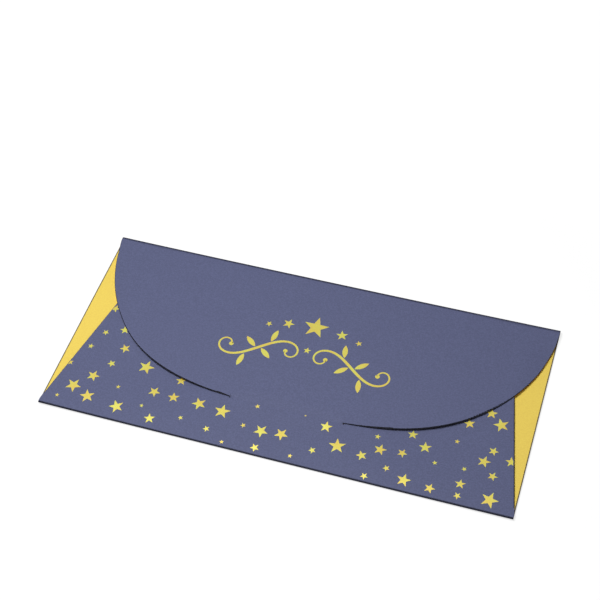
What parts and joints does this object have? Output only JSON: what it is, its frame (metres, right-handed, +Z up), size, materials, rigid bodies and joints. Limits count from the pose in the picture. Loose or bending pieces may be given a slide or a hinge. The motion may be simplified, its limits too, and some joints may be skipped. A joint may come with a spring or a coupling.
{
  "type": "gift card holder",
  "caption": "Folded two-colour card wallet with a pocket for a gift card, scattered foil stars and a long curved flap whose tongue tucks into a slit.",
  "frame": {"origin": "middle of the underside of the closed holder, lying on its back panel", "axes": "+X along the folds to the right, +Y from the bottom fold towards the top fold, +Z up through the card"},
  "size_m": [0.21, 0.099, 0.0023],
  "materials": {
    "cover_card": "matte indigo card",
    "liner_card": "matte golden yellow card",
    "adhesive": "dry clear glue",
    "foil": "pressed gold foil"
  },
  "bodies": {
    "pocket": {"back_cover": "cover_card", "back_liner": "liner_card", "bottom_fold_cover": "cover_card", "bottom_fold_liner": "liner_card", "front_cover": "cover_card", "front_liner": "liner_card", "foil_stars": "foil", "side_fold_cover_left": "cover_card", "side_fold_cover_right": "cover_card", "side_fold_liner_left": "liner_card", "side_fold_liner_right": "liner_card", "glue_tab_cover_left": "cover_card", "glue_tab_cover_right": "cover_card", "glue_tab_liner_left": "liner_card", "glue_tab_liner_right": "liner_card", "adhesive_left": "adhesive", "adhesive_right": "adhesive", "top_fold_cover": "cover_card", "top_fold_liner": "liner_card"},
    "flap": {"flap_cover": "cover_card", "flap_liner": "liner_card", "tongue_cover": "cover_card", "tongue_liner": "liner_card", "foil_ornament": "foil"}
  },
  "joints": [
    {"name": "flap_hinge", "type": "hinge", "parent": "pocket", "child": "flap", "pos_m": [0, 0.04838, 0.00112], "axis": [-1, 0, 0], "range_deg": [0, 179], "deforming": ["top_fold_cover", "top_fold_liner"]}
  ]
}
